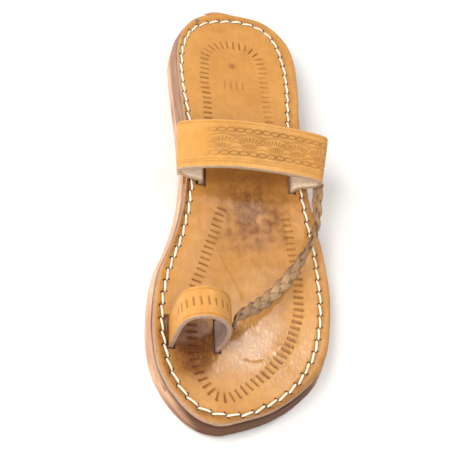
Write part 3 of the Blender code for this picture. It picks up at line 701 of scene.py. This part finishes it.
def makeLift():  # built 1 high, then stretched to the room under the outsole
    profile = [(3.0, 0.0), (sole["lowerRound"], 0.0), (0.15, 0.03), (0.0, 0.09)]
    profile += [(sole["step"] * t, 0.09 + 0.91 * t) for t in (0.2, 0.4, 0.6, 0.8, 0.95)]
    profile += [(sole["step"] + 0.15, 1.0), (sole["step"] + 3.0, 1.0)]
    body = layerBody("heel_lift_layer", profile)
    editFaces(body, lambda c: c[:, 2] > -1)
    bpy.ops.mesh.bisect(plane_co=(0, sole["breast"] * mm, 0), plane_no=(0, 1, 0), clear_inner=True, use_fill=True)
    bpy.ops.object.mode_set(mode="OBJECT")
    points = pointsOf(body)
    share = points[:, 2].copy()
    distance, _, place = nearLine(points[:, :2], outline, closed=True)
    pushOut(points, wander(place, share * 9.0, 27.0, 7.0) * 0.2 * ramp(1.6, 0.9, distance) * (share > 0.02))
    setField(body, "shade", 0.5 * ramp(0.88, 1.0, share) * (distance < 6))
    setField(body, "soilAndShade", np.clip(0.12 + 0.2 * wander(place, share * 20.0, 30.0, 2.0), 0, 0.5))
    points[:, 2] *= riseAt(points[:, 1]) - sole["gap"]
    placePoints(body, points)
    material = soleLeather("heel_lift_side", (0.82, 0.54, 0.37), (0.58, 0.33, 0.21), (0.74, 0.43, 0.31))
    finishPiece(body, "heel_lift", material)


# Straps

instep = dict(width=28.5, thick=2.2, height=16.2, front=3.75, skew=2.0, flare=5.2, legs=(-21.87, 30.14), zero=0.0,
              fineness=0.36, across=84, inner=14, tips=((-30.5, 40.0), (-30.3, 37.4)), depth=0.46)
# across in leg spans, height, share of the rear flare
instepArch = (
    (0.000, 0.000, 0.00), (-0.004, 0.105, 0.00), (-0.075, 0.180, 0.00), (-0.176, 0.265, 0.00),
    (-0.239, 0.377, 0.00), (-0.262, 0.494, 0.00), (-0.239, 0.611, 0.00), (-0.172, 0.700, 0.00),
    (-0.031, 0.846, 0.00), (0.207, 0.981, 0.10), (0.461, 1.000, 0.30), (0.729, 0.951, 0.60),
    (0.987, 0.850, 0.90), (1.140, 0.780, 1.00), (1.206, 0.704, 1.00), (1.227, 0.605, 1.00),
    (1.203, 0.469, 0.95), (1.140, 0.352, 0.75), (1.055, 0.255, 0.30), (1.007, 0.115, 0.05),
    (1.000, 0.000, 0.00),
)
loop = dict(width=16.0, thick=2.4, height=28.0, front=-91.7, lean=2.0, legs=(-37.88, -14.88),
            fineness=0.36, across=48, inner=10, tips=((-42.9, -5.9), (-42.9, -5.9)), depth=0.42, stampPitch=3.35)
loopArch = (
    (0.000, 0.000, 0), (-0.004, 0.214, 0), (0.004, 0.464, 0), (0.030, 0.679, 0), (0.109, 0.850, 0),
    (0.265, 0.961, 0), (0.491, 1.000, 0), (0.717, 0.954, 0), (0.904, 0.832, 0), (1.013, 0.661, 0),
    (1.060, 0.464, 0), (1.055, 0.214, 0), (1.000, 0.000, 0),
)


def tabLine(leg, tip, thick):  # from the end between the layers, round the bend, up to the footbed's top
    outward = math.copysign(1.0, tip - leg)
    level = -(sole["footbed"] + sole["gap"] + thick / 2)
    bend = thick / 2 + sole["gap"]
    turns = np.linspace(0.0, math.pi / 2, 7)
    return [(tip, level)] + [(leg + outward * bend * (1 - math.sin(t)), level + bend * (1 - math.cos(t)))
                             for t in turns]


def strapLines(strap, arch):  # middle line at the front edge and at the rear edge, and its length from the top
    span = strap["legs"][1] - strap["legs"][0]
    lines = []
    for flare, tips in ((0.0, strap["tips"][0]), (strap.get("flare", 0.0), strap["tips"][1])):
        line = [(strap["legs"][0] + a * span + f * flare, h * strap["height"]) for a, h, f in arch]
        medial = tabLine(strap["legs"][0], tips[0], strap["thick"])
        lateral = tabLine(strap["legs"][1], tips[1], strap["thick"])
        lines.append(np.array(medial + [tuple(p) for p in smoothPath(line, 30)] + lateral[::-1]))
    middle = (lines[0] + lines[1]) / 2
    lengths = lengthsAlong(middle)
    at = np.linspace(0.0, lengths[-1], round(lengths[-1] / strap["fineness"]))
    lines = [sampled(line, lengths, at) for line in lines]
    middle = (lines[0] + lines[1]) / 2
    zero = strap.get("zero", middle[middle[:, 1].argmax(), 0])  # x from which lengths count on the strap's top
    away = np.abs(middle[:, 0] - zero) + (middle[:, 1] < 0.6 * strap["height"]) * 99
    return lines, at - at[away.argmin()]


def strapBody(name, strap, arch, place, surface):
    lines, u = strapLines(strap, arch)
    half, ease, width = strap["thick"] / 2, 0.5, strap["width"]
    turns = [math.radians(a) for a in (35, 65, 90)]
    rounding = [(ease * math.sin(t), half - ease + ease * math.cos(t)) for t in turns]
    rows = [(width * t, half, "grain") for t in np.linspace(ease / width, 1 - ease / width, strap["across"])]
    rows += [(width - ease + s, h, "cut") for s, h in rounding]
    rows += [(width - ease + s, -h, "cut") for s, h in reversed(rounding)]
    rows += [(width * t, -half, "flesh") for t in np.linspace(1 - ease / width, ease / width, strap["inner"])]
    rows += [(ease - s, -h, "cut") for s, h in rounding]
    rows += [(ease - s, h, "cut") for s, h in reversed(rounding)]
    v, offset = (np.array([row[k] for row in rows]) for k in (0, 1))
    kind = [row[2] for row in rows]
    grain = np.array([k == "grain" for k in kind], float)
    recess, dark, swell = surface(u[:, None], v[None, :])
    runs = [unit(np.gradient(line, axis=0)) for line in lines]
    normals = [np.stack((-run[:, 1], run[:, 0]), axis=1) for run in runs]
    share = (v / width)[None, :, None]
    middle = lines[0][:, None] * (1 - share) + lines[1][:, None] * share
    normal = unit(normals[0][:, None] * (1 - share) + normals[1][:, None] * share)
    reach = offset[None, :] - strap["depth"] * recess * grain[None, :] + swell
    spots = middle + normal * reach[:, :, None]
    x, height = spots[:, :, 0], spots[:, :, 1]
    y = place(x, height, share[:, :, 0])
    points = np.stack((x, y, topAt(y) + height), axis=2)
    rings, around = points.shape[:2]
    body = meshPiece(name, points.reshape(-1, 3), tubeFaces(rings, around))
    faceOutwards(body)
    setField(body, "tool", np.clip(dark * grain[None, :], 0, 1).ravel())
    for name in ("cut", "flesh"):
        setField(body, name, np.broadcast_to([float(k == name) for k in kind], (rings, around)).ravel())
    for name in ("hole", "grain"):
        setField(body, name, np.zeros(rings * around))
    setField(body, "shade", (ramp(1.6, -0.4, height) * 0.75).ravel())
    return body


tooling = dict(
    start=(-27.0, -15.0), end=(49.0, 41.0),
    lines=((26.9, 0.36, 0.85), (3.1, 0.34, 0.75), (4.5, 0.34, 0.55)),  # place across, half width, depth
    chains=((22.3, 2.25, 1.25, 0.5), (8.1, 2.45, 1.20, 0.0)),  # place across, half length, half height, shift
    fans=(-28.6, -14.1, 0.5, 15.0, 28.0, 41.5), fanMiddle=14.3, rayTurn=math.radians(17.0), hatchPitch=1.15,
    swags=((10.6, -0.9, 0.42, 0.6), (19.6, 0.8, 0.40, 0.5)), swagPitch=14.4,  # place across, swing, half width, depth
)
# the flesh tones here are lightened as painted light on the strap's inner faces
instepLook = dict(tannedLook, light=(0.70, 0.375, 0.105), mid=(0.60, 0.295, 0.068), toolDark=0.8,
                  fleshPale=(0.96, 0.84, 0.66), fleshDeep=(0.84, 0.68, 0.50),
                  cutPale=(0.62, 0.46, 0.31), cutDeep=(0.42, 0.28, 0.18))
# the flesh tones here are darkened as painted shade inside the toe loop
loopLook = dict(tannedLook, light=(0.66, 0.325, 0.082), mid=(0.57, 0.26, 0.055), toolDark=0.85,
                fleshPale=(0.44, 0.33, 0.27), fleshDeep=(0.28, 0.19, 0.15),
                cutPale=(0.50, 0.35, 0.26), cutDeep=(0.34, 0.21, 0.15))


def fan(u, v, center):  # a shell with rays towards the strap's rear edge
    du, dv = u - center, v - tooling["fanMiddle"]
    turn = np.arctan2(du / 1.45, dv + 1.6)
    reach = np.hypot(du / 1.45, dv + 1.6)
    rays = 0.5 + 0.5 * np.cos(turn * 6.283 / tooling["rayTurn"])
    rays = rays * ramp(2.2, 3.0, reach) * ramp(6.0, 4.9, reach) * ramp(1.5, 1.2, np.abs(turn))
    core = ramp(1.15, 0.75, np.sqrt((du / 5.0) ** 2 + ((dv + 1.9) / 1.7) ** 2))
    hatch = core * (0.55 + 0.45 * np.cos(du * 6.283 / tooling["hatchPitch"]))
    brow = bell(reach - 6.9, 0.42) * ramp(1.35, 1.0, np.abs(turn))
    return np.maximum(np.maximum(rays * 0.8, hatch * 0.9), brow * 0.55)


def instepTooling(u, v):  # recess, darkness and swell, u along the strap and v from its front edge in mm
    lines = sum(depth * bell(v - at, width) for at, width, depth in tooling["lines"]) + 0 * u
    pattern = np.zeros(lines.shape)
    for at, long, tall, shift in tooling["chains"]:  # chains of small ovals
        pitch = 2 * long * 1.06
        local = (u / pitch + shift) % 1.0 - 0.5
        ring = np.sqrt((local * pitch / long) ** 2 + ((v - at) / tall) ** 2)
        pattern = np.maximum(pattern, bell(ring - 1.0, 0.22) + 0.35 * bell(ring, 0.35))
    for center in tooling["fans"]:
        pattern = np.maximum(pattern, fan(u, v, center) * (0.45 if center < -20 else 1.0))
    wave = np.cos((u - 0.5) * 6.283 / tooling["swagPitch"])
    for at, swing, width, depth in tooling["swags"]:
        pattern = np.maximum(pattern, bell(v - (at + swing * wave), width) * depth)
    pattern = pattern * ramp(*tooling["start"], u) * ramp(*tooling["end"], u)
    recess = np.clip(np.maximum(lines, pattern), 0, 1)
    rubbed = ramp(-24.0, -8.0, u) * ramp(1.5, 7.0, v) * ramp(27.5, 24.0, v) * (1 - 0.75 * ramp(14.0, 34.0, u))
    dark = np.maximum(0.34 * recess, 0.60 * pattern) + rubbed * (0.20 + 0.10 * wander(u, v, 11.0, 5.0))
    swell = 0.10 * np.sin(np.pi * np.clip(v / instep["width"], 0, 1)) + 0.05 * wander(u, v, 17.0, 4.0)
    return recess, np.clip(dark, 0, 1), swell


def makeInstep():
    left, right = instep["legs"]

    def place(x, height, share):
        reach = (np.clip(x, left, right) - left) / (right - left)
        return instep["front"] + instep["width"] * share + instep["skew"] * reach

    body = strapBody("instep_strap_band", instep, instepArch, place, instepTooling)
    finishPiece(body, "instep_strap", tannedLeather("instep_strap_tan", instepLook), 60)


def loopTooling(u, v):
    lines = 0.8 * bell(v - 1.7, 0.3) + 0.8 * bell(v - 14.6, 0.3) + 0 * u
    index = np.round(u / loop["stampPitch"])
    local = u - index * loop["stampPitch"] + (v - 8.2) * 0.10
    length = 2.15 + 0.25 * np.sin(index * 5.7)
    marks = ramp(0.62, 0.25, np.abs(local)) * ramp(length + 0.25, length - 0.35, np.abs(v - 8.3))
    marks = marks * (np.abs(index) < 6)
    recess = np.clip(np.maximum(lines, marks), 0, 1)
    dark = np.clip(np.maximum(0.34 * recess, 0.8 * marks * (0.8 + 0.2 * np.sin(index * 3.1))), 0, 1)
    return recess, dark, 0.05 * wander(u, v, 13.0, 9.0)


def makeLoop():
    def place(x, height, share):
        return loop["front"] + loop["width"] * share + loop["lean"] * np.maximum(0.0, height) / loop["height"]

    body = strapBody("toe_loop_band", loop, loopArch, place, loopTooling)
    finishPiece(body, "toe_loop", tannedLeather("toe_loop_tan", loopLook), 60)


# Plaited thong

braid = dict(lay=28.0, width=7.2, thick=3.6, strandWide=1.98, strandThick=0.72, swingWide=1.66, swingThick=1.0,
             lean=0.30, around=14, step=0.42)
# middle line in mm, turn of its wide face in degrees, width and thickness in mm
braidRoute = (
    (-11.33, -87.39, 27.50, 101, 9.00, 2.00), (-11.19, -84.87, 27.50, 101, 9.00, 2.00),
    (-10.68, -82.95, 27.50, 101, 8.28, 2.00), (-3.16, -76.53, 25.20, 134, 7.20, 3.24),
    (4.11, -70.09, 21.17, 162, 7.20, 3.60), (10.57, -63.79, 18.53, 168, 7.20, 3.60),
    (16.40, -57.48, 17.43, 168, 7.20, 3.60), (21.71, -51.24, 17.55, 160, 7.20, 3.60),
    (26.32, -44.71, 18.23, 142, 7.20, 3.60), (30.42, -37.99, 19.00, 120, 7.06, 3.60),
    (34.23, -31.35, 19.63, 104, 6.91, 3.60), (37.53, -23.92, 19.89, 92, 6.77, 3.60),
    (39.74, -15.59, 19.23, 80, 6.62, 3.60), (41.09, -6.01, 18.61, 62, 6.62, 3.06),
    (42.20, 2.38, 18.20, 48, 6.84, 2.00), (42.90, 7.60, 19.30, 42, 6.40, 2.00),
    (43.00, 9.40, 19.40, 42, 6.20, 2.00),
)


def makeBraid():
    rows = smoothPath(braidRoute, 10)
    lengths = lengthsAlong(rows[:, :3])
    rows = sampled(rows, lengths, np.arange(0.0, lengths[-1], braid["step"]))
    at = lengthsAlong(rows[:, :3])
    run = unit(np.gradient(rows[:, :3], axis=0))
    level = unit(np.cross(run, (0, 0, 1)))
    roll = np.radians(rows[:, 3])[:, None]
    wide = level * np.cos(roll) + np.cross(level, run) * np.sin(roll)
    face = np.cross(run, wide)
    wideShare, thickShare = (rows[:, 4] / braid["width"])[:, None], (rows[:, 5] / braid["thick"])[:, None]
    around = braid["around"]
    angles = [2 * math.pi * k / around for k in range(around)]
    section = [(math.copysign(abs(math.cos(a)) ** 0.75, math.cos(a)) * braid["strandWide"],
                math.copysign(abs(math.sin(a)) ** 0.85, math.sin(a)) * braid["strandThick"]) for a in angles]
    side = np.array([abs(math.sin(a)) < 0.5 for a in angles], float)
    points, faces, strandShade = [], [], []
    for strand in range(3):
        turn = 2 * math.pi * (at / braid["lay"] + strand / 3)
        sway = np.sin(turn)[:, None] * braid["swingWide"]
        lift = np.sin(2 * turn)[:, None] * braid["swingThick"]
        middle = rows[:, :3] + wide * sway * wideShare + face * lift * thickShare
        lead = unit(np.gradient(middle, axis=0))
        out = face - lead * (face * lead).sum(1)[:, None]
        out = unit(out + wide * (np.cos(turn)[:, None] * braid["lean"]))  # a strip leans as it rides over the next
        across = np.cross(out, lead)
        ring = np.stack([middle + across * w * wideShare + out * t * thickShare for w, t in section], axis=1)
        faces += tubeFaces(len(rows), around, strand * len(rows) * around, turned=True)
        points.append(ring.reshape(-1, 3))
        # painted shade at the strands' edges and where a strand runs under the others
        underShade = ramp(0.2, -0.9, np.sin(2 * turn))
        strandShade.append(np.clip(0.44 * side[None, :] + 0.30 * underShade[:, None], 0, 0.7).ravel())
    body = meshPiece("plaited_thong", np.vstack(points), faces)
    faceOutwards(body)
    setField(body, "strandShade", np.concatenate(strandShade))
    finishPiece(body, "braid", braidMaterial(), 80)


# Stitches

def makeStitches():
    pitch = np.linalg.norm(stitchHoles[1] - stitchHoles[0])
    deselectAll()
    bpy.ops.mesh.primitive_cylinder_add(vertices=8, radius=stitching["thick"] * mm, depth=pitch * 1.02 * mm,
                                        rotation=(0, math.pi / 2, 0))
    model = bpy.context.object
    bpy.ops.object.transform_apply(location=True, rotation=True, scale=True)
    bpy.ops.object.mode_set(mode="EDIT")
    for share in (-0.44, -0.36, -0.22, 0.0, 0.22, 0.36, 0.44):
        bpy.ops.mesh.select_all(action="SELECT")
        bpy.ops.mesh.bisect(plane_co=(share * pitch * mm, 0, 0), plane_no=(1, 0, 0))
    bpy.ops.object.mode_set(mode="OBJECT")
    base = pointsOf(model)
    t = base[:, 0] / (pitch * 0.51)
    thin = 1.0 - 0.55 * np.abs(t) ** 4
    base[:, 1:] *= thin[:, None] * (0.92, 0.72)
    base[:, 2] += 0.34 * (1 - t**2) - 1.15 * np.abs(t) ** 6
    base[:, 1] += 0.52 * t
    faces = [tuple(f.vertices) for f in model.data.polygons]
    bpy.data.objects.remove(model, do_unlink=True)
    points, allFaces, twist = [], [], []
    for k in range(stitching["count"]):
        a, b = stitchHoles[k], stitchHoles[k + 1]
        middle, run = (a + b) / 2, (b - a) / np.linalg.norm(b - a)
        aside = np.array((-run[1], run[0]))
        wobble = 0.10 * math.sin(k * 2.7)
        spots = middle + run * base[:, :1] + aside * (base[:, 1:2] + wobble)
        ground = footbedFields(spots)["height"]
        calm = np.full(len(spots), np.median(ground[np.abs(t) < 0.5]) + 0.05 * math.sin(k * 1.9))
        z = topAt(spots[:, 1]) + calm + stitching["lift"] + base[:, 2]
        start = k * len(base)
        points.append(np.column_stack((spots, z)))
        allFaces += [tuple(start + i for i in face) for face in faces]
        twist.append(0.5 + 0.5 * np.sin(base[:, 0] * 4.2 + base[:, 1] * 3.0))
    body = meshPiece("white_stitches", np.vstack(points), allFaces)
    setField(body, "twist", np.concatenate(twist))
    finishPiece(body, None, threadMaterial(), 80)


# Small things on the heel

tack = dict(x=-21.6, y=118.2, radius=1.15, tall=0.9, bevel=0.3)
frayed = dict(
    rail=((-17.5, 124.6), (-12.0, 126.4), (-5.0, 127.3), (2.5, 127.6)), drop=0.15,
    section=((-0.3, 0.15), (0.9, 0.55), (1.3, 0.35), (0.6, -0.5), (-0.3, -0.7)),  # outwards and up, in mm
    fields=dict(cut=0.6, flesh=0.0, shade=0.25, tool=0.0, hole=0.0, grain=0.0),
)


def makeTack():
    deselectAll()
    spot = Vector((tack["x"], tack["y"], float(topAt(tack["y"])) + 0.05)) * mm
    bpy.ops.mesh.primitive_cylinder_add(vertices=12, radius=tack["radius"] * mm, depth=tack["tall"] * mm,
                                        location=spot)
    body = bpy.context.object
    body.name = "heel_tack"
    bevel = body.modifiers.new("soft", "BEVEL")
    bevel.width, bevel.segments = tack["bevel"] * mm, 2
    bpy.ops.object.modifier_apply(modifier="soft")
    bpy.ops.object.transform_apply(location=True, rotation=True, scale=True)
    r = Recipe("dull_steel")
    wear = r.between(r.noise(900.0, 3.0, 0.6), 0.35, 0.7)
    metal = r.finish(color=r.mix(wear, (0.10, 0.09, 0.085), (0.26, 0.24, 0.22)), roughness=0.5, metallic=0.6,
                     normal=r.relief(wear, 0.0001, 0.6))
    finishPiece(body, None, metal, 60)


def makeFrayedEdge():  # a thin sliver that stands off the footbed's rim
    rail = smoothPath(frayed["rail"], 8)
    spread = np.sin(np.linspace(0.12, math.pi, len(rail)))[:, None]
    rings = []
    for out, up in frayed["section"]:
        spots = rail + np.array((-0.15, 1.0)) * out * spread
        rings.append(np.column_stack((spots, topAt(spots[:, 1]) - frayed["drop"] + up * spread[:, 0])))
    points = np.stack(rings, axis=1)
    body = meshPiece("frayed_edge", points.reshape(-1, 3), tubeFaces(len(rail), len(rings), turned=True))
    faceOutwards(body)
    for name, value in frayed["fields"].items():
        setField(body, name, np.full(len(body.data.vertices), value))
    finishPiece(body, None, bpy.data.materials["footbed_tan"], 60)


makeFootbed()
print("footbed done")
makeOutsole()
makeLift()
print("outsole and heel lift done")
makeInstep()
makeLoop()
print("straps done")
makeBraid()
makeStitches()
makeTack()
makeFrayedEdge()
print("thong, stitches and small things done")

# Floor, light and camera

studio = dict(
    floor=(0.790, 0.792, 0.795), floorPale=(0.805, 0.807, 0.81), air=(1.0, 0.985, 0.96), airStrength=0.76,
    panel=(0.22, 0.50, 0.84), panelTone=(0.16, 0.14, 0.12),  # a dark panel above and behind, seen as a reflection
    lampTone=(1.0, 0.97, 0.93),
    lamps=(  # name, place, aim, size in m, power
        ("key_from_the_left", (-0.70, 0.02, 0.80), (0, 0.02, 0), (0.7, 0.6), 8.8),
        ("gloss_from_behind_right", (0.40, 0.50, 1.00), (0.01, -0.06, 0.01), (0.20, 0.24), 4.0),
        ("fill_from_the_front", (-0.35, -0.75, 0.55), (0, 0, 0.01), (0.7, 0.4), 3.8),
    ),
    lens=75.33, position=(-0.1336, -0.29235, 0.4076), right=(0.9597, -0.0439, 0.2777),
    up=(-0.1164, 0.8370, 0.5347), forward=(0.2559, 0.5454, -0.7981),
)

deselectAll()
bpy.ops.mesh.primitive_plane_add(size=6.0)
floor = bpy.context.object
floor.name = "studio_floor"
paper = Recipe("pale_floor")
tone = paper.between(paper.noise(3.0, 2.0, 0.5), 0.2, 0.8)
floor.data.materials.append(paper.finish(color=paper.mix(tone, studio["floor"], studio["floorPale"]),
                                         roughness=0.9, specular=0.1))

air = Recipe("studio_air", bpy.data.worlds.new("studio_air"))
panel = {0: air.place, 1: Vector(studio["panel"]).normalized()}
toPanel = air.add("ShaderNodeVectorMath", {"operation": "DOT_PRODUCT"}, panel, "Value")
sky = air.mix(air.between(toPanel, 0.72, 0.93), studio["air"], studio["panelTone"])
scene.world = air.finish(sky=sky, strength=studio["airStrength"])

for name, place, aim, size, power in studio["lamps"]:
    light = bpy.data.lights.new(name, "AREA")
    light.shape = "RECTANGLE"
    light.size, light.size_y = size
    light.energy = power
    light.color = studio["lampTone"]
    lamp = bpy.data.objects.new(name, light)
    lamp.location = place
    lamp.rotation_euler = (Vector(aim) - Vector(place)).to_track_quat("-Z", "Y").to_euler()
    scene.collection.objects.link(lamp)

camera = bpy.data.cameras.new("photo_camera")
camera.lens = studio["lens"]
camera.sensor_width = 36.0
camera.clip_start = 0.01
eye = bpy.data.objects.new("photo_camera", camera)
right, up, forward = (Vector(studio[n]).normalized() for n in ("right", "up", "forward"))
turn = Matrix((right, up, -forward)).transposed().to_4x4()
eye.matrix_world = Matrix.Translation(Vector(studio["position"])) @ turn
scene.collection.objects.link(eye)
scene.camera = eye
print("studio done")
